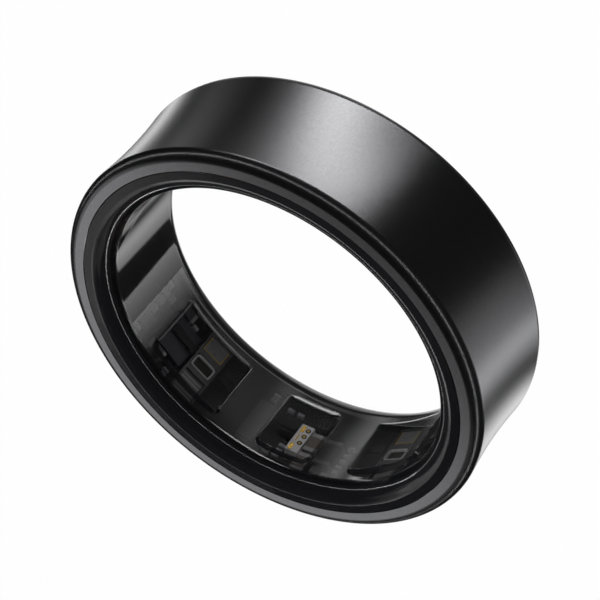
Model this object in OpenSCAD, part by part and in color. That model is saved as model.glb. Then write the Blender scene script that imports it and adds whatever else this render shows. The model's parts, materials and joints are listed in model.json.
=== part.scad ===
// Smart ring: a metal shell round a moulded resin liner, with its electronics between them.
// +Z runs along the finger, the origin is the middle of the finger hole,
// and the middle sensor dome faces the axis from +Y.

/* [Ring] */
// Diameter of the finger hole
bore_d = 18.95; // [17.5:0.05:23]
// Width of the ring along the finger
ring_w = 7; // [6.6:0.1:8.5]
// Thickness of the ring at its rims
rim_t = 2.5; // [2.4:0.05:3]
// Depth of the hollow round the outer face
waist_sink = 0.14; // [0.06:0.01:0.2]
// Rounding of the shell's outer lips
lip_r = 0.53; // [0.4:0.01:0.6]
// Rounding of the finger entry
entry_r = 1; // [0.8:0.05:1.1]
// Width of the flat metal band on each rim
metal_band_w = 0.53; // [0.4:0.01:0.6]

/* [Shell and liner] */
// Thickness of the shell at its waist
shell_t = 0.6; // [0.5:0.05:0.65]
// Thickness of the rims' flanges along the finger
flange_t = 0.8; // [0.6:0.05:0.9]
// Thickness of the liner's wall
liner_t = 0.45; // [0.35:0.05:0.5]
// Glue gap between the shell and the liner
bond_gap = 0.02; // [0.01:0.005:0.04]

/* [Sensor domes] */
// Distance between neighbouring domes along the finger hole's wall
dome_pitch = 6.78; // [6.4:0.02:7.4]
// Width of the two outer domes
wide_dome_w = 5.4; // [4.6:0.05:5.6]
// Width of the middle dome
narrow_dome_w = 3.4; // [2.6:0.05:3.6]
// Length of the domes along the finger
dome_l = 4.26; // [3.6:0.02:4.6]
// Height of the domes above the finger hole's wall
dome_h = 0.22; // [0.12:0.01:0.25]
// Rounding of the domes' corners
dome_corner_r = 0.5; // [0.3:0.05:0.7]

/* [Circuit] */
// Thickness of the adhesive films
film_t = 0.04; // [0.03:0.005:0.06]
// Thickness of the stiffener behind the circuit
stiffener_t = 0.36; // [0.2:0.02:0.4]
// Thickness of the flexible circuit
flex_t = 0.14; // [0.08:0.01:0.18]
// Length of the bare circuit past its last parts
flex_margin = 0.6; // [0.3:0.05:1.2]
// Room left between the circuit's edges and the flanges
flex_edge_gap = 0.12; // [0.08:0.01:0.3]
// Running gap between stacked pieces that are glued or soldered
seat_gap = 0.02; // [0.01:0.005:0.03]
// Room between the chips and the light barriers
chip_clear = 0.06; // [0.03:0.01:0.1]
// Thickness of the black light barriers
barrier_t = 0.1; // [0.06:0.01:0.12]
// Height of the light barriers along the finger
barrier_h = 0.5; // [0.3:0.05:0.7]

/* [Battery and charging] */
// Gap between the circuit's ends and the battery
battery_gap = 1; // [0.6:0.1:1.6]
// Room between the battery and each flange
battery_edge_gap = 0.26; // [0.22:0.02:0.5]
// Rounding of the battery's long edges
battery_round_r = 0.2; // [0.1:0.02:0.3]
// Thickness of the charging coil
coil_t = 0.08; // [0.05:0.01:0.1]
// Width of the charging coil's flat winding
coil_band_w = 0.9; // [0.5:0.05:1.2]
// Thickness of the ferrite sheet
ferrite_t = 0.09; // [0.05:0.01:0.1]
// Width of the battery's two tabs
tab_w = 0.7; // [0.4:0.05:1]
// Thickness of the battery's two tabs
tab_t = 0.08; // [0.05:0.01:0.1]
// Thickness of the antenna strip
antenna_t = 0.12; // [0.08:0.01:0.14]
// Width of the antenna strip across the ring
antenna_w = 0.5; // [0.3:0.05:0.7]

/* [Sensors] */
// Width of the LED package round the ring
led_w = 0.76; // [0.6:0.02:0.9]
// Length of the LED package along the finger
led_l = 2; // [1.6:0.05:2.2]
// Radius of one LED die
led_die_r = 0.1; // [0.06:0.01:0.11]
// Width of a sensor housing round the ring
housing_w = 1.7; // [1.4:0.05:1.9]
// Room between a sensor housing and each flange
housing_edge_gap = 0.4; // [0.3:0.02:0.6]
// Thickness of the walls between a housing's pockets
housing_wall = 0.13; // [0.08:0.01:0.18]
// Depth of a housing's pockets
pocket_depth = 0.3; // [0.2:0.02:0.34]
// Thickness of a photodiode
diode_t = 0.14; // [0.1:0.01:0.16]
// Width of the raised frame on the middle photodiode
diode_frame_w = 0.14; // [0.08:0.01:0.18]
// Width of the gold trace round the lower photodiode
gold_trace_w = 0.07; // [0.05:0.01:0.1]
// Radius of the round temperature sensor
temp_sensor_r = 0.42; // [0.3:0.02:0.45]

/* [Chips] */
// Width of the sensor front end chip
front_end_w = 2.05; // [1.6:0.05:2.2]
// Length of the sensor front end chip
front_end_l = 2.3; // [1.8:0.05:2.4]
// Side of the processor
processor_w = 3; // [2.4:0.1:3.1]
// Width of the memory chip
memory_w = 1; // [0.8:0.05:1.3]
// Length of the memory chip
memory_l = 2.8; // [1.6:0.1:2.9]
// Width of the power chip
power_w = 2.2; // [1.8:0.05:2.4]
// Length of the power chip
power_l = 2.8; // [2:0.1:3.4]
// Width of the charging chip
charger_w = 2; // [1.5:0.05:2.2]
// Length of the charging chip
charger_l = 1.9; // [1.4:0.1:2.1]
// Width of the motion sensor
motion_w = 0.8; // [0.6:0.05:0.9]
// Length of the motion sensor
motion_l = 0.75; // [0.6:0.05:0.9]
// Width of the regulator chip
regulator_w = 0.66; // [0.5:0.02:0.8]
// Length of the regulator chip
regulator_l = 0.96; // [0.7:0.02:1]
// Width of the crystal
crystal_w = 0.85; // [0.6:0.05:0.9]
// Length of the crystal
crystal_l = 1.2; // [0.8:0.05:1.6]
// Width of the battery's protection board
protection_w = 1.4; // [1:0.05:1.5]
// Thickness of the low chips
low_chip_t = 0.32; // [0.2:0.02:0.36]

/* [Passives] */
// Usual gap between neighbouring columns of parts on the circuit
part_gap = 0.15; // [0.1:0.01:0.2]
// Width of a large ceramic capacitor
big_cap_w = 0.8; // [0.6:0.02:0.84]
// Length of a large ceramic capacitor
big_cap_l = 1.3; // [1:0.05:1.36]
// Width of the inductor
inductor_w = 0.95; // [0.7:0.05:1]
// Length of the inductor
inductor_l = 1.8; // [1.4:0.05:1.9]
// Length of a metal end on the large passives
end_l = 0.26; // [0.15:0.01:0.35]
// Width of a wide resistor
wide_res_w = 1.24; // [1:0.02:1.3]
// Length of a wide resistor
wide_res_l = 0.6; // [0.4:0.02:0.66]
// Length of a metal end on the wide resistors
wide_end_l = 0.22; // [0.1:0.01:0.3]
// Width of a medium passive
medium_w = 0.4; // [0.3:0.02:0.42]
// Length of a medium passive
medium_l = 0.45; // [0.3:0.01:0.46]
// Width of a small passive
small_w = 0.38; // [0.2:0.02:0.4]
// Length of a small passive
small_l = 0.22; // [0.14:0.01:0.26]
// Thickness of the small and medium passives
small_t = 0.24; // [0.15:0.01:0.3]

/* [Hidden] */

$fa = 1;
$fs = 0.04;

// One overrun for every cut
overrun = 1;

// Radii and heights of the ring
bore_r = bore_d / 2;
half_w = ring_w / 2;
lip_out_r = bore_r + rim_t;
lip_mid_r = lip_out_r - lip_r;
lip_mid_z = half_w - lip_r;
hollow_r = (lip_mid_z * lip_mid_z + waist_sink * waist_sink) / (2 * waist_sink);
shell_in_r = lip_out_r - waist_sink - shell_t;
flange_in_r = lip_mid_r - metal_band_w;
bay_half = half_w - flange_t;
liner_back_r = bore_r + liner_t;

// Radii of the stacked pieces between the shell and the liner
film_out_r = shell_in_r - seat_gap;
stiffener_out_r = film_out_r - film_t - seat_gap;
flex_out_r = stiffener_out_r - stiffener_t - seat_gap;
flex_in_r = flex_out_r - flex_t;
chip_seat_r = flex_in_r - seat_gap;
barrier_in_r = liner_back_r + seat_gap;
barrier_out_r = barrier_in_r + barrier_t;
chip_top_r = barrier_out_r + chip_clear;
coil_in_r = liner_back_r + seat_gap;
ferrite_in_r = coil_in_r + coil_t + seat_gap;
battery_in_r = ferrite_in_r + ferrite_t + seat_gap;
battery_out_r = stiffener_out_r;

// Angles round the ring: the middle dome is at 90 degrees
middle_az = 90;
dome_step = dome_pitch / bore_r * 180 / PI;
function place_az(pitch_share) = middle_az + pitch_share * dome_step;
function arc_deg(length, radius) = length / radius * 180 / PI;

// Domes
dome_face_r = bore_r - dome_h;
dome_root_r = bore_r + liner_t / 2;
dome_edge_share = 0.83;
dome_edge_r = dome_h * dome_edge_share;
dome_half_l = dome_l / 2;
dome_widths = [wide_dome_w, narrow_dome_w, wide_dome_w];

// Places of the sensors: shares of the dome step, and of the package's half length
led_place_share = 0.011;
led_die_height_shares = [0.3, -0.2, -0.66];
led_pad_height_shares = [0.72, -0.66];
// Length and width of the gold pads, offset of the two columns and radius of the wells,
// as shares of the package's length, its width, its width and the die's radius
led_pad_length_share = 0.23;
led_pad_width_share = 0.26;
led_column_share = 0.2;
led_well_share = 1.4;
led_pad_l = led_l * led_pad_length_share;
led_pad_w = led_w * led_pad_width_share;
led_trace_w = led_pad_w / 3;
led_pad_t = 0.02;
led_column_gap = led_w * led_column_share;
led_well_r = led_die_r * led_well_share;
led_well_depth = led_die_r;
right_housing_share = -0.915;
left_housing_share = 0.85;
housing_l = 2 * (bay_half - housing_edge_gap);
pocket_w = housing_w - 2 * housing_wall;
// Each pocket: [lower end, upper end], as shares of the housing's half length
pocket_shares = [[-0.94, -0.46], [-0.3, 0.1], [0.24, 0.93]];
diode_clear = 0.03;
diode_frame_t = pocket_depth - diode_t;
gold_trace_t = 0.02;
barrier_height_share = -0.163;
// Each light barrier: [start, end], as shares of the dome step
barrier_end_shares = [[-1.3, -1.055], [-0.78, -0.64], [-0.22, -0.06], [0.6, 0.72], [1.01, 1.36]];

// Half length of the circuit along the finger, and length of the battery's protection board
flex_half_l = bay_half - flex_edge_gap;
protection_l = 2 * flex_half_l - 2 * flex_edge_gap;

// Parts on the circuit: [kind, width round the ring, length along the finger]
part_sizes = [
    ["front_end", front_end_w, front_end_l], ["processor", processor_w, processor_w],
    ["memory", memory_w, memory_l], ["power", power_w, power_l],
    ["charger", charger_w, charger_l], ["regulator", regulator_w, regulator_l],
    ["motion", motion_w, motion_l], ["temperature", 2 * temp_sensor_r, 2 * temp_sensor_r],
    ["crystal", crystal_w, crystal_l], ["protection", protection_w, protection_l],
    ["big_cap", big_cap_w, big_cap_l], ["inductor", inductor_w, inductor_l],
    ["wide_res", wide_res_w, wide_res_l], ["medium", medium_w, medium_l],
    ["small", small_w, small_l],
    ["front_end_room", 0, front_end_l], ["charger_room", 0, charger_l],
    ["inductor_room", 0, inductor_l]];
function size_of(kind) = part_sizes[search([kind], part_sizes)[0]];
function width_of(kind) = size_of(kind)[1];
function length_of(kind) = size_of(kind)[2];

// Columns of parts, counted away from a sensor. Each column: [width, gap before it as a
// share of part_gap, stacks]. Each stack runs from low to high along the finger, and each
// of its parts is [kind, shift round the ring as a share of the column's width,
// share of the stack's free length that lies below it].
outer_right_shares = [
    [front_end_w, 1.5, [
        [["wide_res", -0.275, 0.251], ["front_end", 0, 0.127], ["wide_res", -0.275, 0.078]],
        [["small", 0.21, 0.313], ["front_end_room", 0, 0.145], ["small", 0.34, 0.207],
            ["small", 0.34, 0.072]]]],
    [regulator_w, 4, [
        [["medium", -0.6, 0.217], ["medium", -0.36, 0.011], ["medium", -0.32, 0.073],
            ["medium", -0.32, 0.114], ["regulator", 0, 0.054], ["small", -0.27, 0.112],
            ["small", -0.33, 0.095]],
        [["medium", 0.38, 0.16]]]],
    [small_w, 3.5, [
        [["small", 0, 0.187], ["small", 0, 0.086], ["small", 0, 0.453], ["small", 0, 0.086]]]],
    [power_w, 2.3, [[["power", 0, 0.5]]]],
    [small_w, 0.7, [[["small", 0, 0.123], ["small", 0, 0.754]]]],
    [inductor_w, 2, [[["inductor", 0, 0.385], ["inductor", 0, 0.231]]]]];
inner_right_shares = [
    [motion_w, 0.85, [
        [["small", 0.05, 0.225], ["motion", 0, 0.212], ["small", 0.3, 0.194],
            ["small", 0.3, 0.052], ["small", 0.3, 0.045]],
        [["small", -0.68, 0.177], ["small", -0.4, 0.593], ["small", -0.4, 0.041]]]],
    [memory_w, 5.55, [
        [["small", 0.09, 0.219], ["small", 0.09, 0.081], ["memory", 0, 0.156]]]]];
inner_left_shares = [
    [big_cap_w, 0.55, [
        [["temperature", -0.16, 0.341], ["big_cap", 0, 0.246], ["big_cap", 0, 0.123]]]],
    [inductor_w, 1.05, [
        [["inductor", 0, 0.782], ["medium", -0.25, 0.026], ["medium", -0.25, 0.037]],
        [["inductor_room", 0, 0.661], ["medium", 0.47, 0.114]]]],
    [small_w, 1.75, [
        [["small", 0, 0.453], ["small", 0, 0.081], ["small", 0, 0.052], ["small", 0, 0.064],
            ["small", 0, 0.041]]]]];
outer_left_shares = [
    [charger_w, 3.8, [
        [["big_cap", -0.26, 0.103], ["charger", 0, 0.341]],
        [["big_cap", 0.24, 0.103], ["charger_room", 0, 0.341]]]],
    [crystal_w, 5, [
        [["small", 0, 0.204], ["medium", 0, 0.12], ["medium", 0, 0.079],
            ["crystal", 0, 0.185]]]],
    [processor_w, 1.05, [[["processor", 0, 0.5]]]],
    [protection_w, 1, [[["protection", 0, 0.5]]]]];

// Middle of a column, as a distance round the ring from the edge of its sensor
function column_mid(columns, i) =
    columns[i][0] / 2 + columns[i][1] * part_gap
    + (i == 0 ? 0 : column_mid(columns, i - 1) + columns[i - 1][0] / 2);

// The four chains of columns: [azimuth of the sensor, its half width, side, columns]
led_az = place_az(led_place_share);
right_housing_az = place_az(right_housing_share);
left_housing_az = place_az(left_housing_share);
chains = [
    [right_housing_az, housing_w / 2, -1, outer_right_shares],
    [led_az, led_w / 2, -1, inner_right_shares],
    [led_az, led_w / 2, 1, inner_left_shares],
    [left_housing_az, housing_w / 2, 1, outer_left_shares]];
function column_az(chain, i) =
    chain[0] + chain[2] * arc_deg(chain[1] + column_mid(chain[3], i), chip_top_r);

// Length of the first n parts of a stack, and the height of its part n
function stack_length(stack, n) =
    n == 0 ? 0 : stack_length(stack, n - 1) + length_of(stack[n - 1][0]);
function free_below(stack, n) = stack[n][2] + (n == 0 ? 0 : free_below(stack, n - 1));
function part_z(stack, n) =
    -flex_half_l + stack_length(stack, n) + length_of(stack[n][0]) / 2
    + free_below(stack, n) * (2 * flex_half_l - stack_length(stack, len(stack)));

// Every place of one kind of part: [azimuth, height]
function places(kind) = [
    for (chain = chains, i = [0:len(chain[3]) - 1], stack = chain[3][i][2],
         n = [0:len(stack) - 1])
        if (stack[n][0] == kind)
            [column_az(chain, i) + arc_deg(stack[n][1] * chain[3][i][0], chip_top_r),
                part_z(stack, n)]];

// How far the circuit reaches, and where the battery lies in what is left
function chain_end(chain) =
    column_az(chain, len(chain[3]) - 1)
    + chain[2] * arc_deg(chain[3][len(chain[3]) - 1][0] / 2 + flex_margin, chip_top_r);
flex_start_az = chain_end(chains[0]);
flex_end_az = chain_end(chains[3]);
battery_start_az = flex_end_az + arc_deg(battery_gap, battery_in_r);
battery_end_az = flex_start_az + 360 - arc_deg(battery_gap, battery_in_r);
battery_half_l = bay_half - battery_edge_gap;

// The flat back of a chip lies inside the flexible circuit's curve, so its corners just clear it
function seat_x(width) = sqrt(chip_seat_r * chip_seat_r - width * width / 4);

// A box round the ring: radii, heights and azimuths of its sides
module arc_block(in_r, out_r, low_z, high_z, start_az, end_az) {
    rotate([0, 0, start_az])
        rotate_extrude(angle = end_az - start_az)
            translate([in_r, low_z])
                square([out_r - in_r, high_z - low_z]);
}

// Puts its children at a place on the circuit, with +X outwards and Y round the ring
module at_place(place) {
    rotate([0, 0, place[0]])
        translate([0, 0, place[1]])
            children();
}

// A box whose flat faces lie at in_x and out_x, centred across and along the ring
module block(in_x, out_x, width, length) {
    translate([in_x, -width / 2, -length / 2])
        cube([out_x - in_x, width, length]);
}

// Parts that reach from the circuit up to the height shared by the tall parts
module tall_parts(kind) {
    for (place = places(kind))
        at_place(place)
            block(chip_top_r, seat_x(width_of(kind)), width_of(kind), length_of(kind));
}

// Parts of their own thickness
module low_parts(kind, thickness) {
    seat = seat_x(width_of(kind));
    for (place = places(kind))
        at_place(place)
            block(seat - thickness, seat, width_of(kind), length_of(kind));
}

// The middle stretches of tall parts whose metal ends lie along the finger
module tall_bodies(kind) {
    for (place = places(kind))
        at_place(place)
            block(chip_top_r, seat_x(width_of(kind)), width_of(kind),
                length_of(kind) - 2 * end_l);
}

// The two metal ends of such parts
module tall_ends(kind) {
    for (place = places(kind), side = [-1, 1])
        at_place(place)
            translate([0, 0, side * (length_of(kind) - end_l) / 2])
                block(chip_top_r, seat_x(width_of(kind)), width_of(kind), end_l);
}

// Outline of the shell's outer side, with its hollow and round lips
module shell_outline() {
    difference() {
        union() {
            translate([flange_in_r, -half_w])
                square([lip_mid_r - flange_in_r, ring_w]);
            translate([lip_mid_r, -lip_mid_z])
                square([lip_r, 2 * lip_mid_z]);
            for (side = [-1, 1])
                translate([lip_mid_r, side * lip_mid_z])
                    circle(r = lip_r);
        }
        translate([lip_out_r - waist_sink + hollow_r, 0])
            circle(r = hollow_r, $fn = 1440);
    }
}

module outer_shell() {
    color("#202124")
        rotate_extrude()
            difference() {
                shell_outline();
                translate([flange_in_r - overrun, -bay_half])
                    square([shell_in_r - flange_in_r + overrun, 2 * bay_half]);
            }
}

// Outline of the liner: a thin wall with a flange and a round finger entry at each rim
module liner_outline() {
    cut = entry_r + overrun;
    difference() {
        translate([bore_r, -half_w])
            square([flange_in_r - bond_gap - bore_r, ring_w]);
        for (side = [-1, 1])
            difference() {
                translate([bore_r - overrun, side * (half_w + overrun - cut / 2) - cut / 2])
                    square(cut);
                translate([bore_r + entry_r, side * (half_w - entry_r)])
                    circle(r = entry_r);
            }
        translate([liner_back_r, -bay_half])
            square([flange_in_r - liner_back_r, 2 * bay_half]);
    }
}

// Side view of a dome, swept round the ring: its two edges across the finger are rounded
module dome_band(sweep) {
    rotate([0, 0, -sweep / 2])
        rotate_extrude(angle = sweep)
            union() {
                translate([dome_face_r, -(dome_half_l - dome_edge_r)])
                    square([dome_root_r - dome_face_r, 2 * (dome_half_l - dome_edge_r)]);
                translate([dome_face_r + dome_edge_r, -dome_half_l])
                    square([dome_root_r - dome_face_r - dome_edge_r, dome_l]);
                for (side = [-1, 1])
                    translate([dome_face_r + dome_edge_r, side * (dome_half_l - dome_edge_r)])
                        circle(r = dome_edge_r);
            }
}

// View of a dome along the finger: its two edges along the finger are rounded
module dome_end_view(width) {
    edge_mid_y = width / 2 - dome_edge_r;
    edge_mid_r = dome_face_r + dome_edge_r;
    edge_mid_x = sqrt(edge_mid_r * edge_mid_r - edge_mid_y * edge_mid_y);
    flat_half = edge_mid_y * dome_face_r / edge_mid_r;
    union() {
        translate([bore_r - wide_dome_w / 2, -flat_half])
            square([wide_dome_w, 2 * flat_half]);
        translate([edge_mid_x, -width / 2])
            square([wide_dome_w / 2, width]);
        for (side = [-1, 1])
            translate([edge_mid_x, side * edge_mid_y])
                circle(r = dome_edge_r);
    }
}

// Front view of a dome, seen from the axis: a rectangle with round corners
module dome_front_view(width) {
    corner_y = width / 2 - dome_corner_r;
    corner_z = dome_half_l - dome_corner_r;
    union() {
        square([dome_l, 2 * corner_y], center = true);
        square([2 * corner_z, width], center = true);
        for (y_side = [-1, 1], z_side = [-1, 1])
            translate([z_side * corner_z, y_side * corner_y])
                circle(r = dome_corner_r);
    }
}

module dome(width) {
    sweep = 2 * asin(width / 2 / dome_face_r) + arc_deg(overrun, bore_r);
    intersection() {
        dome_band(sweep);
        translate([0, 0, -dome_l])
            linear_extrude(height = 2 * dome_l) dome_end_view(width);
        translate([bore_r - wide_dome_w / 2, 0, 0])
            rotate([0, 90, 0])
                linear_extrude(height = wide_dome_w) dome_front_view(width);
    }
}

module inner_liner() {
    color("#15161a")
        union() {
            rotate_extrude() liner_outline();
            for (i = [-1, 0, 1])
                rotate([0, 0, place_az(i)])
                    dome(dome_widths[i + 1]);
        }
}

module flex_circuit() {
    color("#3b2f1c")
        arc_block(flex_in_r, flex_out_r, -flex_half_l, flex_half_l, flex_start_az, flex_end_az);
}

module board_stiffener() {
    color("#2f4436")
        arc_block(flex_out_r + seat_gap, stiffener_out_r, -flex_half_l, flex_half_l,
            flex_start_az, flex_end_az);
}

module board_adhesive() {
    color("#c9c4ae")
        arc_block(film_out_r - film_t, film_out_r, -flex_half_l, flex_half_l,
            flex_start_az, flex_end_az);
}

module battery_cell() {
    color("#26272b")
        rotate([0, 0, battery_start_az])
            rotate_extrude(angle = battery_end_az - battery_start_az)
                union() {
                    translate([battery_in_r, -battery_half_l + battery_round_r])
                        square([battery_out_r - battery_in_r, 2 * (battery_half_l - battery_round_r)]);
                    translate([battery_in_r + battery_round_r, -battery_half_l])
                        square([battery_out_r - battery_in_r - 2 * battery_round_r,
                            2 * battery_half_l]);
                    for (r = [battery_in_r + battery_round_r, battery_out_r - battery_round_r],
                         side = [-1, 1])
                        translate([r, side * (battery_half_l - battery_round_r)])
                            circle(r = battery_round_r);
                }
}

module battery_adhesive() {
    color("#c9c4ae")
        arc_block(film_out_r - film_t, film_out_r, -battery_half_l + battery_round_r,
            battery_half_l - battery_round_r, battery_start_az, battery_end_az);
}

module battery_protection_board() {
    color("#1d4a34") low_parts("protection", low_chip_t);
}

// Two strips that run from the battery's end over the protection board
module battery_tabs() {
    tab_out_r = seat_x(protection_w) - low_chip_t - seat_gap;
    tab_start_az = places("protection")[0][0] - arc_deg(protection_w / 2, tab_out_r);
    tab_end_az = battery_start_az - arc_deg(seat_gap, battery_in_r);
    tab_z = protection_l / 4;
    color("#c4c5c8")
        for (side = [-1, 1])
            arc_block(tab_out_r - tab_t, tab_out_r, side * tab_z - tab_w / 2,
                side * tab_z + tab_w / 2, tab_start_az, tab_end_az);
}

// A flat winding in the form of a long loop, behind the liner
module charging_coil() {
    band_deg = arc_deg(coil_band_w, coil_in_r);
    coil_out_r = coil_in_r + coil_t;
    color("#b87333")
        difference() {
            arc_block(coil_in_r, coil_out_r, -battery_half_l, battery_half_l,
                battery_start_az, battery_end_az);
            arc_block(coil_in_r - overrun, coil_out_r + overrun, -battery_half_l + coil_band_w,
                battery_half_l - coil_band_w, battery_start_az + band_deg,
                battery_end_az - band_deg);
        }
}

module ferrite_sheet() {
    color("#3a3a3c")
        arc_block(ferrite_in_r, ferrite_in_r + ferrite_t, -battery_half_l, battery_half_l,
            battery_start_az, battery_end_az);
}

// A strip under the resin flange, where no metal screens it
module antenna() {
    antenna_in_r = battery_in_r + battery_round_r;
    color("#c98a3a")
        arc_block(antenna_in_r, antenna_in_r + antenna_w, bay_half - seat_gap - antenna_t,
            bay_half - seat_gap, battery_start_az, battery_end_az);
}

// The LED package, with a round well for each die
module led_package() {
    color("#d8cfba")
        at_place([led_az, 0])
            difference() {
                block(chip_top_r, seat_x(led_w), led_w, led_l);
                for (share = led_die_height_shares)
                    translate([chip_top_r - overrun, led_column_gap, share * led_l / 2])
                        rotate([0, 90, 0])
                            cylinder(r = led_well_r, h = led_well_depth + overrun, $fn = 48);
            }
}

module led_pads() {
    color("#d3a03a")
        at_place([led_az, 0]) {
            for (share = led_pad_height_shares)
                translate([0, -led_column_gap, share * led_l / 2])
                    block(chip_top_r - led_pad_t, chip_top_r, led_pad_w, led_pad_l);
            translate([0, -led_column_gap, 0])
                block(chip_top_r - led_pad_t, chip_top_r, led_trace_w, led_pad_l);
        }
}

module led_dies() {
    color("#e0b04a")
        at_place([led_az, 0])
            for (share = led_die_height_shares)
                translate([chip_top_r, led_column_gap, share * led_l / 2])
                    rotate([0, 90, 0])
                        cylinder(r = led_die_r, h = led_well_depth, $fn = 48);
}

function pocket_low(i) = pocket_shares[i][0] * housing_l / 2;
function pocket_high(i) = pocket_shares[i][1] * housing_l / 2;
function pocket_mid(i) = (pocket_low(i) + pocket_high(i)) / 2;
function pocket_l(i) = pocket_high(i) - pocket_low(i);

// A pale body with three pockets, one above the other, that open towards the finger
module sensor_housing(azimuth) {
    color("#9a9b9d")
        at_place([azimuth, 0])
            difference() {
                block(chip_top_r, seat_x(housing_w), housing_w, housing_l);
                for (i = [0:len(pocket_shares) - 1])
                    translate([0, 0, pocket_mid(i)])
                        block(chip_top_r - overrun, chip_top_r + pocket_depth, pocket_w,
                            pocket_l(i));
            }
}

module right_sensor_housing() sensor_housing(right_housing_az);
module left_sensor_housing() sensor_housing(left_housing_az);

// Puts its children in each sensor housing, at the floor of its pockets
module in_housings() {
    for (azimuth = [right_housing_az, left_housing_az])
        at_place([azimuth, 0])
            translate([chip_top_r + pocket_depth, 0, 0])
                children();
}

module photodiodes() {
    color("#2c2c30")
        in_housings()
            for (i = [0:len(pocket_shares) - 1])
                translate([0, 0, pocket_mid(i)])
                    block(-diode_t, 0, pocket_w - 2 * diode_clear, pocket_l(i) - 2 * diode_clear);
}

// A raised frame round the middle photodiode
module photodiode_frames() {
    frame_w = pocket_w - 2 * diode_clear;
    frame_l = pocket_l(1) - 2 * diode_clear;
    color("#c8c9cb")
        in_housings()
            translate([-diode_t, 0, pocket_mid(1)])
                difference() {
                    block(-diode_frame_t, 0, frame_w, frame_l);
                    block(-diode_frame_t - overrun, overrun, frame_w - 2 * diode_frame_w,
                        frame_l - 2 * diode_frame_w);
                }
}

// A gold trace round three sides of the lower photodiode
module photodiode_traces() {
    trace_w = pocket_w - 2 * diode_clear;
    trace_l = pocket_l(0) - 2 * diode_clear;
    color("#c79a3a")
        in_housings()
            translate([-diode_t, 0, pocket_mid(0)])
                difference() {
                    block(-gold_trace_t, 0, trace_w, trace_l);
                    translate([0, 0, -gold_trace_w])
                        block(-gold_trace_t - overrun, overrun, trace_w - 2 * gold_trace_w,
                            trace_l);
                }
}

// Black strips on the liner's back that keep stray light out of the photodiodes
module light_barriers() {
    barrier_z = barrier_height_share * bay_half;
    color("#0c0c0e")
        for (ends = barrier_end_shares)
            arc_block(barrier_in_r, barrier_out_r, barrier_z - barrier_h / 2,
                barrier_z + barrier_h / 2, place_az(ends[0]), place_az(ends[1]));
}

module sensor_front_end_chip() {
    color("#241d2b") tall_parts("front_end");
}

module processor_chip() {
    color("#1a1b1e") low_parts("processor", low_chip_t);
}

module memory_chip() {
    color("#34363a") low_parts("memory", low_chip_t);
}

module power_chip() {
    color("#1a1b1e") low_parts("power", low_chip_t);
}

module charging_chip() {
    color("#1a1b1e") tall_parts("charger");
}

module regulator_chip() {
    color("#3f454f") low_parts("regulator", low_chip_t);
}

module motion_sensor() {
    color("#131417") tall_parts("motion");
}

module skin_temperature_sensor() {
    color("#1b1b1d")
        for (place = places("temperature"))
            at_place(place)
                translate([chip_top_r, 0, 0])
                    rotate([0, 90, 0])
                        cylinder(r = temp_sensor_r, h = seat_x(2 * temp_sensor_r) - chip_top_r);
}

module crystal() {
    color("#b9b9b4") low_parts("crystal", low_chip_t);
}

module large_capacitors() {
    color("#6b4f3a") tall_bodies("big_cap");
}

module large_capacitor_ends() {
    color("#a8a8a8") tall_ends("big_cap");
}

module inductors() {
    color("#4b4d50") tall_bodies("inductor");
}

module inductor_ends() {
    color("#a8a8a8") tall_ends("inductor");
}

// The wide resistors' metal ends lie round the ring
module wide_resistors() {
    color("#202125")
        for (place = places("wide_res"))
            at_place(place)
                block(chip_top_r, seat_x(wide_res_w), wide_res_w - 2 * wide_end_l, wide_res_l);
}

module wide_resistor_ends() {
    color("#a8a8a8")
        for (place = places("wide_res"), side = [-1, 1])
            at_place(place)
                translate([0, side * (wide_res_w - wide_end_l) / 2, 0])
                    block(chip_top_r, seat_x(wide_res_w), wide_end_l, wide_res_l);
}

module medium_passives() {
    color("#85888f") low_parts("medium", small_t);
}

module small_passives() {
    color("#8f9298") low_parts("small", small_t);
}

outer_shell();
inner_liner();
flex_circuit();
board_stiffener();
board_adhesive();
battery_cell();
battery_adhesive();
battery_tabs();
battery_protection_board();
charging_coil();
ferrite_sheet();
antenna();
led_package();
led_pads();
led_dies();
right_sensor_housing();
left_sensor_housing();
photodiodes();
photodiode_frames();
photodiode_traces();
light_barriers();
sensor_front_end_chip();
processor_chip();
memory_chip();
power_chip();
charging_chip();
regulator_chip();
motion_sensor();
skin_temperature_sensor();
crystal();
large_capacitors();
large_capacitor_ends();
inductors();
inductor_ends();
wide_resistors();
wide_resistor_ends();
medium_passives();
small_passives();
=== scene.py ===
"""Looks of the smart ring: a black metal ring with a hollow outer face and a dark see-through
resin liner, under which the circuit shows. Sizes of the ring and of the lamps are in mm, and MM
turns them into metres. Those of the floor, the cloth and the hoop of light are in metres. Angles
are in degrees unless a comment says radians."""
import json
import math

import bpy
import numpy as np
from mathutils import Matrix, Vector


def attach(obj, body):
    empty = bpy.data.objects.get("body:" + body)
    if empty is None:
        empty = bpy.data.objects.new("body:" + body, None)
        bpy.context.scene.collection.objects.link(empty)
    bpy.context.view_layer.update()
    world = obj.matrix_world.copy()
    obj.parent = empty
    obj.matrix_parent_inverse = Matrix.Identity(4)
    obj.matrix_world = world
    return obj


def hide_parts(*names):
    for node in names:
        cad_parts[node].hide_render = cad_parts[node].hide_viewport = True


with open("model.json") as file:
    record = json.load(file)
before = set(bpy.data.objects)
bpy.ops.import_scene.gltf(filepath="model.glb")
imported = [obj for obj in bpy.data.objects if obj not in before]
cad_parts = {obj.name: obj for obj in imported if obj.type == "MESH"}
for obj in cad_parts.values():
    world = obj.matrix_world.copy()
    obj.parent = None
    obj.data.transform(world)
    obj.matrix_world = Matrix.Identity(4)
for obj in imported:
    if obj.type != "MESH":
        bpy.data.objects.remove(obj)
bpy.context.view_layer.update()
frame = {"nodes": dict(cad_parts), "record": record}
MM = 0.001

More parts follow.
